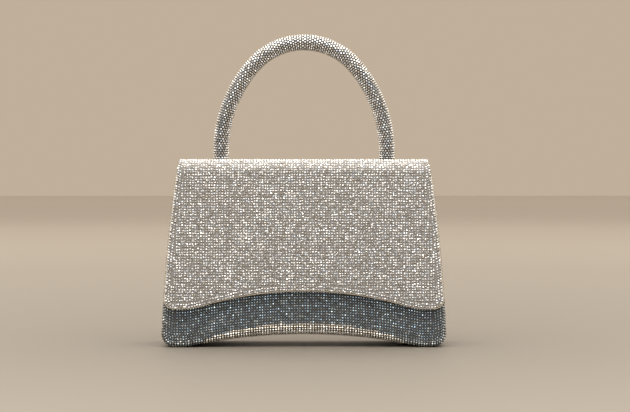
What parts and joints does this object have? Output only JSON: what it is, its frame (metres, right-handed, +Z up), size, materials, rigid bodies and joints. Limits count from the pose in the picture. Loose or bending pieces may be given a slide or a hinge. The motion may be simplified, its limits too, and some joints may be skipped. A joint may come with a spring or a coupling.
{
  "type": "clutch purse",
  "caption": "Structured crystal-covered clutch purse with an arched top handle, a wavy front flap, a magnetic snap and an arched base.",
  "frame": {"origin": "centre of the bag's plan on the surface it stands on", "axes": "+Z up, -Y out of the front flap, +X to the right when facing the front"},
  "size_m": [0.1928, 0.0548, 0.2125],
  "materials": {
    "crystals": "polished faceted stones on a silver mesh",
    "handle_crystals": "polished faceted stones on a silver mesh",
    "board": "matte",
    "dark_crystals": "polished faceted dark silver stones on a black mesh",
    "edge_binding": "metallic champagne",
    "rim_leather": "metallic pewter",
    "lining": "satin twill",
    "snap_metal": "polished",
    "magnet": "plated",
    "plain_steel": "plain",
    "brass": "turned",
    "screw_steel": "polished"
  },
  "bodies": {
    "bag": {"back_board": "board", "back_crystal_skin": "crystals", "back_lining": "lining", "base_board": "board", "base_crystal_skin": "dark_crystals", "base_lining": "lining", "front_board": "board", "front_crystal_skin": "dark_crystals", "front_lining": "lining", "left_gusset_board": "board", "left_gusset_crystal_skin": "dark_crystals", "left_gusset_lining": "lining", "rear_bend_crystal_skin": "crystals", "rear_bend_lining": "lining", "right_gusset_board": "board", "right_gusset_crystal_skin": "dark_crystals", "right_gusset_lining": "lining", "rim_binding": "rim_leather", "slip_pocket": "lining", "snap_magnet": "magnet", "snap_socket_base": "plain_steel", "snap_socket_cap": "snap_metal"},
    "lid": {"lid_crystal_skin": "crystals", "lid_board": "board", "lid_lining": "lining", "lid_edge_binding": "edge_binding", "front_bend_crystal_skin": "crystals", "front_bend_lining": "lining", "handle_crystal_sleeve": "handle_crystals", "handle_core": "plain_steel", "handle_end_plugs": "brass", "handle_washers": "screw_steel", "handle_screws": "screw_steel"},
    "flap": {"flap_crystal_skin": "crystals", "flap_board": "board", "flap_lining": "lining", "flap_edge_binding": "edge_binding", "snap_stud": "snap_metal"}
  },
  "joints": [
    {"name": "lid_hinge", "type": "hinge", "parent": "bag", "child": "lid", "pos_m": [0, 0.0189, 0.12475], "axis": [-1, 0, 0], "range_deg": [0, 100]},
    {"name": "flap_fold", "type": "hinge", "parent": "lid", "child": "flap", "pos_m": [0, -0.02009, 0.12475], "axis": [-1, 0, 0], "range_deg": [0, 90]}
  ]
}
